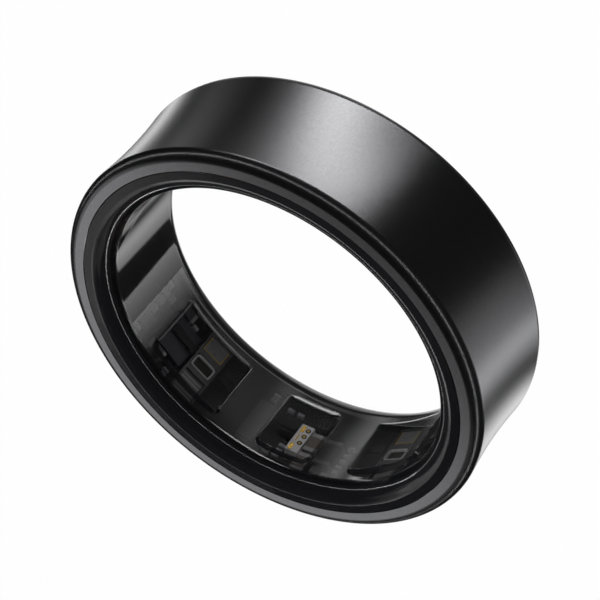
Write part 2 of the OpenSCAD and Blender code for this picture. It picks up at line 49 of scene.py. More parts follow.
# Radii and heights of the ring, as the CAD model has them
BORE_R = 9.475
HALF_W = 3.5
LIP_OUT_R = 11.975
LIP_R = 0.53
LIP_MID_R = LIP_OUT_R - LIP_R
LIP_MID_Z = HALF_W - LIP_R
WAIST_SINK = 0.14
HOLLOW_R = (LIP_MID_Z ** 2 + WAIST_SINK ** 2) / (2 * WAIST_SINK)
SHELL_WALL = 0.6
SHELL_IN_R = LIP_OUT_R - WAIST_SINK - SHELL_WALL
BAND_W = 0.53
FLANGE_IN_R = LIP_MID_R - BAND_W
FLANGE_T = 0.8
BAY_HALF = HALF_W - FLANGE_T
BOND_GAP = 0.02
LINER_OUT_R = FLANGE_IN_R - BOND_GAP
LINER_WALL = 0.45
LINER_BACK_R = BORE_R + LINER_WALL
ENTRY_R = 1.0
WALL_HALF = HALF_W - ENTRY_R

# The shell's mesh: points along the hollow, steps round each lip, the widths of the flat band's
# small edges, segments round the ring, and the angle up to which faces are shaded smooth
HOLLOW_POINTS = 33
LIP_STEPS = 18
BAND_OUTER_EDGE = 0.02
BAND_INNER_EDGE = 0.025
SHELL_SEGMENTS = 720
SHELL_SMOOTH_DEG = 4.5
# The materials of the shell's faces
OUTSIDE, BAND, INSIDE = range(3)

# The three domes: the way round the ring from one to the next, the angle for it, each dome as
# (azimuth, width round the ring), and half their length along its axis
DOME_SPACING = 6.78
DOME_STEP = math.degrees(DOME_SPACING / BORE_R)
MIDDLE_AZ = 90
DOMES = ((MIDDLE_AZ - DOME_STEP, 5.4), (MIDDLE_AZ, 3.4), (MIDDLE_AZ + DOME_STEP, 5.4))
DOME_HALF_L = 2.13
DOME_EDGE_H = 0.2
DOME_CORNER = 0.55
DOME_FOOT_R = 0.06
# Radius and slope, in radians, of a dome's edge: on its steep sides, and on its broad low side
DOME_TOP_R = (0.12, 0.9)
DOME_SLOPE = (math.radians(75), math.acos(1 - DOME_EDGE_H / (DOME_FOOT_R + 0.9)))
# The width over which a steep side turns into the broad one at a corner
DOME_TURN_W = 0.4
# How much flatter a dome's face is than the finger hole, as a curvature in 1/mm
DOME_BULGE = 0.0192

# The liner's mesh: the azimuths that the domes lie between, and how its columns and its rows are
# spaced there, each as (how near a dome's edge the steps are fine, fine step, coarsest step)
DOME_SECTOR = (26, 154)
AZ_STEPS = (3.2, 0.22, 1.0)
Z_STEPS = (0.33, 0.032, 0.2)
# How fast the steps grow away from there, and how far inside a dome's ends the fine rows lie
STEP_GROWTH = 0.5
FINE_ROW_INSET = 0.25
# The even step outside the domes' sector, the steps of the round entry and of the rim, and the
# angle up to which faces are shaded smooth
PLAIN_AZ_STEP = 1.2
ENTRY_STEPS = 26
RIM_STEPS = 8
LINER_SMOOTH_DEG = 35
# Slope of the liner's rim at its inner and its outer edge, how far it stays under the metal's
# rim, and the width and depth of its small outer edge
RIM_SLOPE = (3, 8)
RIM_SINK = 0.002
RIM_EDGE = (0.012, 0.015)

# The gloss of the finger entry, from its most shaded places on; the places that get painted shade,
# less gloss in place of their reflections, as azimuths and slopes of the entry's round edge, and
# how wide they fade out
ENTRY_GLOSS = (0.03, 0.044, 0.058, 0.072, 0.086, 0.1)
ENTRY_SHADED = (((308, 343), (74, 90)), ((148, 180), (66, 90)))
ENTRY_FADE = (12, 8)
# The glosses of the flat rim, and the gloss wanted round it: (azimuth, gloss). The gloss paints a
# reflection: the rim is glossiest from azimuth 290 to 6, and has painted shade from 105 to 250
FLAT_GLOSS = (0.001, 0.003, 0.005, 0.007, 0.01, 0.014, 0.018)
FLAT_PATH = ((6, 0.018), (20, 0.011), (30, 0.0075), (40, 0.0055), (60, 0.0035), (80, 0.003),
             (105, 0.001), (250, 0.001), (290, 0.018))
# The materials of the liner's faces; from ENTRY and from FLAT on, one for each gloss. The fifth
# is the resin with painted shade: little gloss and nearly opaque
WALL, WINDOW, BACK, EDGE, PAINTED_SHADE, ENTRY = range(6)
FLAT = ENTRY + len(ENTRY_GLOSS)
# The shares of its edge's height past which a place is on a dome's face, and on its edge
FACE_SHARE = 0.98
EDGE_SHARE = 0.005
# The azimuths between which the wall is glossy, with painted shade outside them, and the
# azimuth and the height past which the domes' edges get painted shade in place of their glints
UNSHADED_WALL_AZ = (21, 165)
SHADED_EDGE_AZ = 140
SHADED_EDGE_Z = 1.6

# The sensors behind the resin: tops and floors as radii, places as azimuths
CHIP_TOP_R = 10.105
POCKET_FLOOR_R = CHIP_TOP_R + 0.3
DIODE_TOP_R = POCKET_FLOOR_R - 0.14
PAD_TOP_R = CHIP_TOP_R + 0.03
POCKETS = ((-2.162, -1.058), (-0.69, 0.23), (0.552, 2.139))
DIODE_W = 1.38
DIODE_GAP = 0.03
HOUSING_AZ = (MIDDLE_AZ - 0.915 * DOME_STEP, MIDDLE_AZ + 0.85 * DOME_STEP)
# The angle up to which faces of small parts are shaded smooth, and their corners' least radius
PART_SMOOTH_DEG = 40
LEAST_CORNER = 0.005
# The frame round a photodiode: its outline as (radius, inset), and its corners' radius
FRAME_PROFILE = ((DIODE_TOP_R, 0), (CHIP_TOP_R + 0.02, 0), (CHIP_TOP_R, 0.02),
                 (CHIP_TOP_R, 0.065), (CHIP_TOP_R + 0.02, 0.085), (DIODE_TOP_R, 0.09))
FRAME_CORNER = 0.2
# The gold trace: its width, how far it lies inside its photodiode, and its top and low side
TRACE_W = 0.05
TRACE_INSET = (0.05, 0.03)
TRACE_TOP_R = PAD_TOP_R - 0.012
TRACE_LOW_R = PAD_TOP_R + 0.02
# The light-emitting dies: azimuth, distance round the ring from there, heights, outlines of a
# die and of the black ring round it as (radius, depth), and their number of sides
LED_AZ = MIDDLE_AZ + 0.011 * DOME_STEP
LED_COLUMN = 0.152
LED_DIE_Z = (0.3, -0.2, -0.66)
WELL_PROFILE = ((0.152, 0.01), (0.15, -0.004), (0.144, -0.006))
DIE_PROFILE = ((0.078, 0.0), (0.075, -0.016), (0.06, -0.02))
DIE_SIDES = 24

# The resins of the liner, in the order of its materials: (name, alpha, gloss). The dome edges'
# resin has more gloss than the wall's, a painted highlight, and the last one painted shade
RESIN_COLOUR = (0.006, 0.006, 0.007)
RESINS = (("resin_wall", 0.6, 0.28), ("resin_window", 0.18, 0.4), ("resin_back", 0.15, 0.1),
          ("resin_dome_edge_painted_highlight", 0.6, 0.8), ("resin_painted_shade", 0.95, 0.06))
# The alpha of the resins of the entry and the rim, and the entry's roughness
RIM_ALPHA = 0.95
ENTRY_ROUGHNESS = 0.1

# The world's light on matt surfaces, and how white it looks
WORLD_LIGHT = 0.45
WORLD_WHITE = 1.0
# The floor: height, half width, colour and how white it looks in the picture
FLOOR_Z = -0.26
FLOOR_HALF = 1.6
FLOOR_GREY = 0.9
FLOOR_WHITE_SHARE = 0.97
# The dark cloth: radius, step, lowest and highest elevation, and colour
CLOTH_R = 0.25
CLOTH_STEP = 2
CLOTH_EL = (-66, 88)
CLOTH_GREY = 0.25
# The window in the dark cloth for the rim's softbox
WINDOW_AZ = (24, 106)
WINDOW_EL = (26, 44)
# The hoop of light: radius, step, and its path as (azimuth, elevation, half its height)
STRIP_R = 0.24
STRIP_STEP = 2
STRIP_PATH = ((24, 10, 1), (42, 4, 0.8), (54, 3, 0.8), (64, 3, 0.8), (72, 4, 0.8), (81, 6, 0.7),
              (94, 12, 0.8), (117, 19, 1.2), (147, 24, 1.2), (180, 26, 1.2), (236, 29, 1.2),
              (292, 27, 1.2), (342, 18, 1.2))
# Where the hoop is dim, and how bright it is there and elsewhere
STRIP_DIM_AZ = (28, 76)
STRIP_DIM = 5.0
STRIP_BRIGHT = 26.0
# A softbox's fade over more than this share of its size is even, and a shorter one is eased
EVEN_FADE = 0.8
# The large key light: centre, size and radiance
KEY_LAMP = ((265, 96, 530), 560, 560, 3.0)
# The softboxes: name, centre, width, height, radiance, and further values of add_lamp
LAMPS = (
    ("rim_soft", (161, 233, 201.7), 255, 88.5, 5.6,
     {"soft": (0.15, 0.15, 0.07, 0.36), "upright": True}),
    ("shell_main", (4.3, -30, -17), 50, 12, 42,
     {"soft": (0.165, 0.317, 0, 0), "slant": 0.5, "upright": True}),
    ("shell_left", (28, 4, -18.5), 8, 14, 6, {"roll": -20, "soft": (0.45, 0.45, 0.1, 0.1)}),
    ("shell_end", (-23, 9, -12), 10, 12, 8, {"soft": (0.3, 0.3, 0.3, 0.3)}),
    ("bore_left", (-55.5, 18, -52), 50, 40, 9.5,
     {"roll": -8, "soft": (0.02, 0.95, 0.15, 0.15)}),
    ("bore_far", (-14, 70, -54), 42, 30, 4, {"soft": (0.6, 0.1, 0.1, 0.1)}),
    ("bore_right", (30.5, -8.5, -28), 32, 14, 3.5,
     {"soft": (0.45, 0.253, 0.5, 0.1), "slant": -0.295}),
    ("bore_middle", (4, -34, -31), 18, 16, 1.8, {"soft": (0.5, 0.4, 0.3, 0.3)}),
    ("under_soft", (74, -13, -185), 200, 160, 4, {"soft": (0.4, 0.4, 0.3, 0.3)}),
    ("dome_glow", (16, 24, -32), 26, 22, 2.2, {"soft": (0.4, 0.4, 0.4, 0.4)}),
    ("bore_fill", (1, -0.5, -8), 13, 8.5, 0.9, {"soft": (0.25, 0.25, 0.25, 0.25)}))


# Camera

def make_camera():
    """The camera at the photograph's place: found by matching the ring's rims to the picture.
    Its angles are in radians."""
    turn = math.radians(-115.9)
    tilt = 0.9143
    roll = 2.4579
    distance = 110.616 * MM
    focal_px = 2166.05
    centre_px = (300.12, 307.37)
    frame_px = 600.0
    sensor_mm = 36.0
    back = Vector((math.sin(tilt) * math.cos(turn), math.sin(tilt) * math.sin(turn),
                   math.cos(tilt)))
    forward = -back
    level = forward.cross(Vector((0, 0, 1))).normalized()
    steep = forward.cross(level)
    right = math.cos(roll) * level + math.sin(roll) * steep
    down = -math.sin(roll) * level + math.cos(roll) * steep
    half = frame_px / 2
    aim = (forward + (half - centre_px[0]) / focal_px * right
           + (half - centre_px[1]) / focal_px * down).normalized()
    right = (right - right.dot(aim) * aim).normalized()
    up = right.cross(aim)
    data = bpy.data.cameras.new("photo_camera")
    data.sensor_width = sensor_mm
    data.lens = focal_px * sensor_mm / frame_px
    data.clip_start = 0.005
    data.clip_end = 10
    camera = bpy.data.objects.new("photo_camera", data)
    bpy.context.scene.collection.objects.link(camera)
    camera.matrix_world = Matrix((
        (right.x, up.x, -aim.x, back.x * distance),
        (right.y, up.y, -aim.y, back.y * distance),
        (right.z, up.z, -aim.z, back.z * distance),
        (0, 0, 0, 1)))
    bpy.context.scene.camera = camera


# Meshes

def add_object(name, vertices, faces, materials, face_materials=None, smooth_deg=30):
    """A mesh object with its materials, shaded smooth up to an angle between faces."""
    mesh = bpy.data.meshes.new(name)
    mesh.from_pydata([tuple(v) for v in vertices], [], [tuple(f) for f in faces])
    for material in materials:
        mesh.materials.append(material)
    if face_materials is not None:
        mesh.polygons.foreach_set("material_index", np.asarray(face_materials, dtype=np.int32))
    mesh.polygons.foreach_set("use_smooth", [True] * len(mesh.polygons))
    mesh.set_sharp_from_angle(angle=math.radians(smooth_deg))
    mesh.update()
    piece = bpy.data.objects.new(name, mesh)
    bpy.context.scene.collection.objects.link(piece)
    return piece


def arc_points(mid_r, mid_z, radius, start_deg, end_deg, steps):
    """Points of an arc in the (radius, height) plane, both ends included."""
    angles = np.radians(np.linspace(start_deg, end_deg, steps + 1))
    return [(mid_r + radius * math.cos(a), mid_z + radius * math.sin(a)) for a in angles]


def grid_faces(rows, columns, close_rows, close_columns, flip=False):
    """Faces between rows of points, where the last row or column may join on to the first."""
    faces = []
    for i in range(rows if close_rows else rows - 1):
        for j in range(columns if close_columns else columns - 1):
            a = i * columns + j
            b = i * columns + (j + 1) % columns
            c = (i + 1) % rows * columns + (j + 1) % columns
            d = (i + 1) % rows * columns + j
            faces.append((a, d, c, b) if flip else (a, b, c, d))
    return faces


# Shell

def shell_profile():
    """The closed outline of the metal shell, and the material number of each side."""
    hollow = []
    for z in np.linspace(-LIP_MID_Z, LIP_MID_Z, HOLLOW_POINTS):
        r = LIP_OUT_R - WAIST_SINK + HOLLOW_R - math.sqrt(HOLLOW_R ** 2 - z * z)
        hollow.append((r, z))
    band_out_r = LIP_MID_R - BAND_OUTER_EDGE
    band_in_r = FLANGE_IN_R + BAND_INNER_EDGE
    edge_z = HALF_W - BAND_INNER_EDGE
    runs = (
        (hollow[:-1], OUTSIDE),
        (arc_points(LIP_MID_R, LIP_MID_Z, LIP_R, 0, 90, LIP_STEPS), OUTSIDE),
        ([(band_out_r, HALF_W), (band_in_r, HALF_W)], BAND),
        ([(FLANGE_IN_R, edge_z), (FLANGE_IN_R, BAY_HALF), (SHELL_IN_R, BAY_HALF),
          (SHELL_IN_R, -BAY_HALF), (FLANGE_IN_R, -BAY_HALF), (FLANGE_IN_R, -edge_z)], INSIDE),
        ([(band_in_r, -HALF_W)], BAND),
        ([(band_out_r, -HALF_W)], OUTSIDE),
        (arc_points(LIP_MID_R, -LIP_MID_Z, LIP_R, 270, 360, LIP_STEPS)[:-1], OUTSIDE))
    points = [point for run, _ in runs for point in run]
    kinds = [kind for run, kind in runs for _ in run]
    return points, kinds


def make_shell(materials):
    profile, kinds = shell_profile()
    azimuths = np.linspace(0, 2 * math.pi, SHELL_SEGMENTS, endpoint=False)
    vertices = [(r * math.cos(a) * MM, r * math.sin(a) * MM, z * MM)
                for r, z in profile for a in azimuths]
    faces = grid_faces(len(profile), SHELL_SEGMENTS, True, True)
    shell = add_object("ring_shell", vertices, faces, materials,
                       np.repeat(kinds, SHELL_SEGMENTS), SHELL_SMOOTH_DEG)
    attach(shell, "root")
    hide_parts("outer_shell")


# Liner

def edge_height(depth, breadth):
    """Height of a dome at a depth inside its outline: a small foot fillet, a slope, then a round
    edge, which is steep where the breadth is 0 and broad where it is 1."""
    slope = DOME_SLOPE[0] + (DOME_SLOPE[1] - DOME_SLOPE[0]) * breadth
    top_r = DOME_TOP_R[0] + (DOME_TOP_R[1] - DOME_TOP_R[0]) * breadth
    foot_w = DOME_FOOT_R * np.sin(slope)
    foot_h = DOME_FOOT_R * (1 - np.cos(slope))
    top_w = top_r * np.sin(slope)
    straight_h = DOME_EDGE_H - foot_h - top_r * (1 - np.cos(slope))
    straight_w = straight_h / np.tan(slope)
    on_foot = DOME_FOOT_R - np.sqrt(np.maximum(DOME_FOOT_R ** 2 - np.clip(depth, 0, foot_w) ** 2, 0))
    on_slope = foot_h + (depth - foot_w) * np.tan(slope)
    left = np.clip(foot_w + straight_w + top_w - depth, 0, top_w)
    on_top = DOME_EDGE_H - top_r + np.sqrt(top_r ** 2 - left ** 2)
    return np.select([depth <= foot_w, depth <= foot_w + straight_w], [on_foot, on_slope], on_top)


def dome_heights(azimuths, heights):
    """How far the liner's inner face stands into the finger hole, over a grid of places, and how
    much of a dome's full height its edge has reached there."""
    rise = np.zeros((len(heights), len(azimuths)))
    reached = np.zeros_like(rise)
    for middle, width in DOMES:
        across = np.radians(azimuths - middle)[None, :] * BORE_R
        along = np.asarray(heights)[:, None]
        over_x = np.abs(across) - (width / 2 - DOME_CORNER)
        over_z = np.abs(along) - (DOME_HALF_L - DOME_CORNER)
        outside = np.hypot(np.maximum(over_x, 0), np.maximum(over_z, 0))
        inside = np.minimum(np.maximum(over_x, over_z), 0)
        depth = DOME_CORNER - outside - inside
        near = (np.abs(across) < width) & (depth > 0)
        blend = np.clip((over_z - over_x) / DOME_TURN_W + 0.5, 0, 1) * (along < 0)
        breadth = blend * blend * (3 - 2 * blend)
        share = np.where(near, edge_height(depth, breadth) / DOME_EDGE_H, 0)
        bulge = DOME_BULGE * np.maximum((width / 2) ** 2 - across ** 2, 0)
        rise = np.maximum(rise, share * (DOME_EDGE_H + bulge))
        reached = np.maximum(reached, share)
    return rise, reached


def dense_steps(low, high, marks, near, fine, coarse):
    """Numbers from low to high: close together near the marks, further apart elsewhere."""
    values = [low]
    while values[-1] < high:
        gap = min(abs(values[-1] - m) for m in marks)
        step = fine if gap <= near else min(coarse, fine + (gap - near) * STEP_GROWTH)
        values.append(min(values[-1] + step, high))
    return values


def liner_azimuths():
    """The azimuths of the liner's columns, from the start of the domes' sector once round."""
    edges = []
    for middle, width in DOMES:
        half = math.degrees(width / 2 / BORE_R)
        edges += [middle - half, middle + half]
    plain = np.arange(DOME_SECTOR[1] + PLAIN_AZ_STEP, DOME_SECTOR[0] + 360, PLAIN_AZ_STEP)
    return np.array(dense_steps(*DOME_SECTOR, edges, *AZ_STEPS) + list(plain))


def liner_outline():
    """Four runs of points (radius, height) of the liner's upper half, in order: its whole wall,
    its round entry, its rim and its back."""
    fine_z = DOME_HALF_L - FINE_ROW_INSET
    wall = [(BORE_R, z)
            for z in dense_steps(-WALL_HALF, WALL_HALF, [-fine_z, fine_z], *Z_STEPS)]
    entry = arc_points(BORE_R + ENTRY_R, WALL_HALF, ENTRY_R, 180, 90 + RIM_SLOPE[0],
                       ENTRY_STEPS)[1:]
    rim = []
    last_r, last_z = entry[-1]
    radii = np.linspace(last_r, LINER_OUT_R, RIM_STEPS + 1)[1:]
    for r, slope in zip(radii, np.linspace(*RIM_SLOPE, RIM_STEPS)):
        last_z += (r - last_r) * math.tan(math.radians(slope))
        last_r = r
        rim.append((r, min(last_z, HALF_W - RIM_SINK)))
    high = rim[-1][1]
    rim[-1] = (LINER_OUT_R - RIM_EDGE[0], high)
    back = [(LINER_OUT_R, high - RIM_EDGE[1]), (LINER_OUT_R, BAY_HALF), (LINER_BACK_R, BAY_HALF)]
    return wall, entry, rim, back


def entry_shades(azimuths, slopes):
    """The number of the gloss of each face of the entry, over a grid of places: less gloss, painted
    shade, at the listed places.
    """
    share = np.ones((len(slopes), len(azimuths)))
    for (low_az, high_az), (low_slope, high_slope) in ENTRY_SHADED:
        past_az = np.maximum(low_az - azimuths, azimuths - high_az)
        past_slope = np.maximum(low_slope - slopes, slopes - high_slope)
        away = np.hypot(np.maximum(past_az, 0)[None, :] / ENTRY_FADE[0],
                        np.maximum(past_slope, 0)[:, None] / ENTRY_FADE[1])
        share = np.minimum(share, away)
    return np.round(share * (len(ENTRY_GLOSS) - 1)).astype(int)


def flat_shades(azimuths):
    """The number of the flat rim's gloss at each azimuth: its painted reflection and painted shade.
    """
    path_az, path_gloss = np.array(FLAT_PATH).T
    wanted = np.interp(azimuths, path_az, path_gloss, period=360)
    return np.argmin(np.abs(np.subtract.outer(FLAT_GLOSS, wanted)), axis=0)


def liner_kinds(rows, azimuths, wall, entry, rim, reached):
    """The material number of each of the liner's faces, row by row of its outline. The rim has
    one more row for its small outer edge. Next come a side, two rows of the back, the back's
    lower step and the lower side, and then the rim and the entry on the far side."""
    kinds = np.full((rows, len(azimuths)), WALL)
    entry_at = len(wall) - 1
    rim_at = entry_at + len(entry)
    side_at = rim_at + len(rim) + 1
    back_at = side_at + 1
    far_rim_at = back_at + 4
    share = (reached[:-1] + reached[1:]) / 2
    # Dome edges take the resin with a painted highlight
    on_wall = np.select([share > FACE_SHARE, share > EDGE_SHARE], [WINDOW, EDGE], WALL)
    # Outside the glossy azimuths the wall gets painted shade
    on_wall[:, (azimuths < UNSHADED_WALL_AZ[0]) | (azimuths > UNSHADED_WALL_AZ[1])] = PAINTED_SHADE
    near_rim = np.array([z > SHADED_EDGE_Z for _, z in wall[:-1]])[:, None]
    # Dome edges near the upper rim and past the given azimuth get painted shade in place of glints
    on_wall[(on_wall == EDGE) & ((azimuths > SHADED_EDGE_AZ) | near_rim)] = PAINTED_SHADE
    kinds[:entry_at] = on_wall
    slopes = (np.arange(len(entry)) + 0.5) * (90 - RIM_SLOPE[0]) / len(entry)
    # The entry: less gloss, painted shade, at the listed places
    kinds[entry_at:rim_at] = ENTRY + entry_shades(azimuths, slopes)
    # The flat rim: a painted reflection on one side and painted shade on the other, as glosses
    kinds[rim_at:side_at] = FLAT + flat_shades(azimuths)
    kinds[back_at:back_at + 2] = BACK
    # The rim and the entry on the lower side get painted shade, which takes out a thin line of
    # reflection
    kinds[far_rim_at:] = PAINTED_SHADE
    return kinds


def make_liner(materials):
    azimuths = liner_azimuths()
    turned = azimuths % 360
    wall, entry, rim, back = liner_outline()
    upper = entry + rim + back
    outline = wall + upper + [(r, -z) for r, z in reversed(upper)]
    rise = np.zeros((len(outline), len(azimuths)))
    rise[:len(wall)], reached = dome_heights(turned, [z for _, z in wall])
    vertices = []
    for (r, z), risen in zip(outline, rise):
        for azimuth, height in zip(azimuths, risen):
            radius = r - height
            a = math.radians(azimuth)
            vertices.append((radius * math.cos(a) * MM, radius * math.sin(a) * MM, z * MM))
    faces = grid_faces(len(outline), len(azimuths), True, True, flip=True)
    kinds = liner_kinds(len(outline), turned, wall, entry, rim, reached)
    liner = add_object("ring_liner", vertices, faces, materials, kinds.reshape(-1),
                       LINER_SMOOTH_DEG)
    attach(liner, "root")
    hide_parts("inner_liner")


# Materials

class Paint:
    """A material with one Principled shader, and short ways to give it grain."""

    def __init__(self, name, colour, roughness, metallic=0.0, specular=0.5, alpha=1.0):
        self.material = bpy.data.materials.new(name)
        self.material.use_nodes = True
        self.tree = self.material.node_tree
        self.shader = self.tree.nodes["Principled BSDF"]
        self.set("Base Color", (*colour, 1))
        self.set("Roughness", roughness)
        self.set("Metallic", metallic)
        self.set("Specular IOR Level", specular)
        self.set("Alpha", alpha)
        self.colour = colour
        self.roughness = roughness

    def set(self, socket, value):
        self.shader.inputs[socket].default_value = value

    def node(self, kind, **values):
        made = self.tree.nodes.new(kind)
        for key, value in values.items():
            if key in made.inputs:
                made.inputs[key].default_value = value
            else:
                setattr(made, key, value)
        return made

    def link(self, a, b):
        self.tree.links.new(a, b)

    def noise(self, scale, detail=4.0, stretch=(1, 1, 1)):
        place = self.node("ShaderNodeTexCoord")
        mapping = self.node("ShaderNodeMapping")
        mapping.inputs["Scale"].default_value = stretch
        self.link(place.outputs["Object"], mapping.inputs["Vector"])
        noise = self.node("ShaderNodeTexNoise", Scale=scale, Detail=detail)
        self.link(mapping.outputs["Vector"], noise.inputs["Vector"])
        return noise.outputs["Fac"]

    def ramp(self, source, low, high, low_at=0.3, high_at=0.7):
        ramp = self.node("ShaderNodeValToRGB")
        for stop, place, colour in zip(ramp.color_ramp.elements, (low_at, high_at), (low, high)):
            stop.position = place
            stop.color = (*colour, 1)
        self.link(source, ramp.inputs["Fac"])
        return ramp.outputs["Color"]

    def mottle(self, scale, spread):
        """Lets the colour and the roughness wander a little."""
        source = self.noise(scale)
        low = tuple(c * (1 - spread) for c in self.colour)
        high = tuple(min(c * (1 + spread), 1) for c in self.colour)
        self.link(self.ramp(source, low, high), self.shader.inputs["Base Color"])
        span = self.node("ShaderNodeMapRange")
        span.inputs["To Min"].default_value = self.roughness * (1 - spread)
        span.inputs["To Max"].default_value = min(self.roughness * (1 + spread), 1)
        self.link(source, span.inputs["Value"])
        self.link(span.outputs["Result"], self.shader.inputs["Roughness"])

    def bump(self, source, height, strength):
        bump = self.node("ShaderNodeBump", Distance=height, Strength=strength)
        self.link(source, bump.inputs["Height"])
        self.link(bump.outputs["Normal"], self.shader.inputs["Normal"])


def shell_material(name, base, roughness):
    """Coated metal with a very fine brushed grain."""
    paint = Paint(name, base, roughness, metallic=1.0)
    paint.set("Specular Tint", (0.5, 0.5, 0.5, 1))
    paint.mottle(scale=9000, spread=0.1)
    grain = paint.noise(scale=26000, detail=2.0, stretch=(1, 1, 3))
    paint.bump(grain, height=0.0000012, strength=0.5)
    return paint.material


def resin_material(name, alpha, specular, roughness=0.06):
    """Dark see-through resin, clearer where alpha is low."""
    paint = Paint(name, RESIN_COLOUR, roughness, specular=specular, alpha=alpha)
    paint.set("IOR", 1.5)
    paint.mottle(scale=400, spread=0.08)
    return paint.material


def plain(name, colour, roughness, metallic=0.0, grain=6000, spread=0.15, specular=0.06):
    """A matt surface with a fine grain: ceramic, moulding compound, foil or plating."""
    paint = Paint(name, colour, roughness, metallic, specular)
    paint.mottle(grain, spread)
    paint.bump(paint.noise(grain * 3, detail=2.0), height=0.000002, strength=0.6)
    return paint.material


def striped(name, low, high):
    """Fine stripes across the finger's direction."""
    paint = Paint(name, low, roughness=0.5, specular=0.2)
    place = paint.node("ShaderNodeTexCoord")
    wave = paint.node("ShaderNodeTexWave", Scale=1400.0, bands_direction="Z")
    paint.link(place.outputs["Object"], wave.inputs["Vector"])
    stripes = paint.ramp(wave.outputs["Fac"], low, high, low_at=0.35, high_at=0.65)
    paint.link(stripes, paint.shader.inputs["Base Color"])
    return paint.material


def liner_materials():
    """The liner's materials, in the order of the numbers of its faces: copies of one resin, some
    with a painted highlight, painted reflection or painted shade.
    """
    resins = [resin_material(name, alpha, gloss) for name, alpha, gloss in RESINS]
    # Copies of the entry's resin, from the most painted shade to none, one for each gloss
    resins += [resin_material("resin_rim_%d" % i, RIM_ALPHA, gloss, ENTRY_ROUGHNESS)
               for i, gloss in enumerate(ENTRY_GLOSS)]
    # Copies of the flat rim's resin for its painted reflection and painted shade, one for each gloss
    resins += [resin_material("resin_flat_rim_%d" % i, RIM_ALPHA, gloss)
               for i, gloss in enumerate(FLAT_GLOSS)]
    return resins


def node_materials():
    """The finish of each material slot that the CAD nodes have."""
    return {
        "flex": plain("flex_cover", (0.012, 0.012, 0.013), 0.5),
        "stiffener": plain("stiffener_steel", (0.3, 0.3, 0.31), 0.4, 1.0),
        "film": plain("adhesive_film", (0.05, 0.05, 0.05), 0.6),
        "battery_pouch": plain("battery_foil", (0.09, 0.09, 0.1), 0.4, 0.6),
        "nickel": plain("nickel_tab", (0.55, 0.53, 0.5), 0.35, 1.0),
        "board_green": plain("protection_board", (0.02, 0.06, 0.03), 0.5),
        "copper": plain("bare_copper", (0.72, 0.33, 0.14), 0.35, 1.0),
        "ferrite": plain("ferrite_sheet", (0.03, 0.03, 0.032), 0.6),
        "gold": plain("gold_plate", (0.6, 0.38, 0.07), 0.45, 0.2),
        "led_body": plain("led_ceramic", (0.97, 0.94, 0.93), 0.5),
        "led_die": plain("led_die", (0.95, 0.6, 0.15), 0.4),
        "sensor_body": plain("housing_ceramic", (0.05, 0.05, 0.052), 0.5, specular=0.2),
        "silicon": plain("silicon_die", (0.07, 0.07, 0.072), 0.4, specular=0.2),
        "diode_frame": plain("diode_frame", (0.45, 0.45, 0.46), 0.45),
        "barrier_black": plain("light_barrier", (0.004, 0.004, 0.004), 0.8, specular=0.1),
        "front_end_tint": plain("front_end_die", (0.013, 0.01, 0.018), 0.4, specular=0.2),
        "chip_black": plain("chip_mould", (0.016, 0.016, 0.018), 0.5),
        "chip_grey": plain("chip_grey", (0.06, 0.062, 0.068), 0.5),
        "crystal_can": plain("crystal_lid", (0.35, 0.35, 0.36), 0.35, 1.0),
        "capacitor_brown": plain("capacitor_ceramic", (0.09, 0.065, 0.05), 0.55, specular=0.2),
        "solder": plain("tinned_end", (0.2, 0.2, 0.2), 0.5, specular=0.3),
        "inductor_grey": plain("inductor_ferrite", (0.12, 0.12, 0.125), 0.6),
        "passive_grey": plain("passive_grey", (0.36, 0.37, 0.39), 0.55),
    }


# Sensors

def place_points(azimuth, points):
    """Turns (radius, distance round the ring, height) in mm into places in metres."""
    a = math.radians(azimuth)
    inward = np.array((-math.cos(a), -math.sin(a), 0))
    across = np.array((-math.sin(a), math.cos(a), 0))
    return [tuple((-r * inward + y * across + np.array((0, 0, z))) * MM) for r, y, z in points]


def rounded_loop(width, length, corner, steps=5):
    """Points of a rounded rectangle, in mm, round its middle."""
    points = []
    for side_y, side_z, start in ((1, 1, 0), (-1, 1, 90), (-1, -1, 180), (1, -1, 270)):
        for step in range(steps + 1):
            a = math.radians(start + 90 * step / steps)
            points.append((side_y * (width / 2 - corner) + corner * math.cos(a),
                           side_z * (length / 2 - corner) + corner * math.sin(a)))
    return points


class Parts:
    """Collects the meshes of several small parts into one piece."""

    def __init__(self):
        self.vertices = []
        self.faces = []
        self.kinds = []

    def rings(self, azimuth, rings, kind, lid):
        """Joins loops of points of the same length, and closes the last one with a lid."""
        count = len(rings[0])
        faces = grid_faces(len(rings), count, False, True)
        if lid:
            faces.append(tuple(range((len(rings) - 1) * count, len(rings) * count)))
        first = len(self.vertices)
        self.vertices.extend(place_points(azimuth, [p for ring in rings for p in ring]))
        self.faces.extend(tuple(first + v for v in face) for face in faces)
        self.kinds.extend([kind] * len(faces))

    def block(self, azimuth, r_top, r_low, mid_y, mid_z, width, length, kind, corner=0.03,
              bevel=0.02):
        """A chip with rounded corners and a small bevel round its top."""
        rings = []
        for r, inset in ((r_low, 0), (r_top + bevel, 0), (r_top, bevel)):
            loop = rounded_loop(width - 2 * inset, length - 2 * inset,
                                max(corner - inset, LEAST_CORNER))
            rings.append([(r, mid_y + y, mid_z + z) for y, z in loop])
        self.rings(azimuth, rings, kind, True)

    def build(self, name, materials, node):
        piece = add_object(name, self.vertices, self.faces, materials, self.kinds,
                           PART_SMOOTH_DEG)
        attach(piece, "root")
        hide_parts(node)


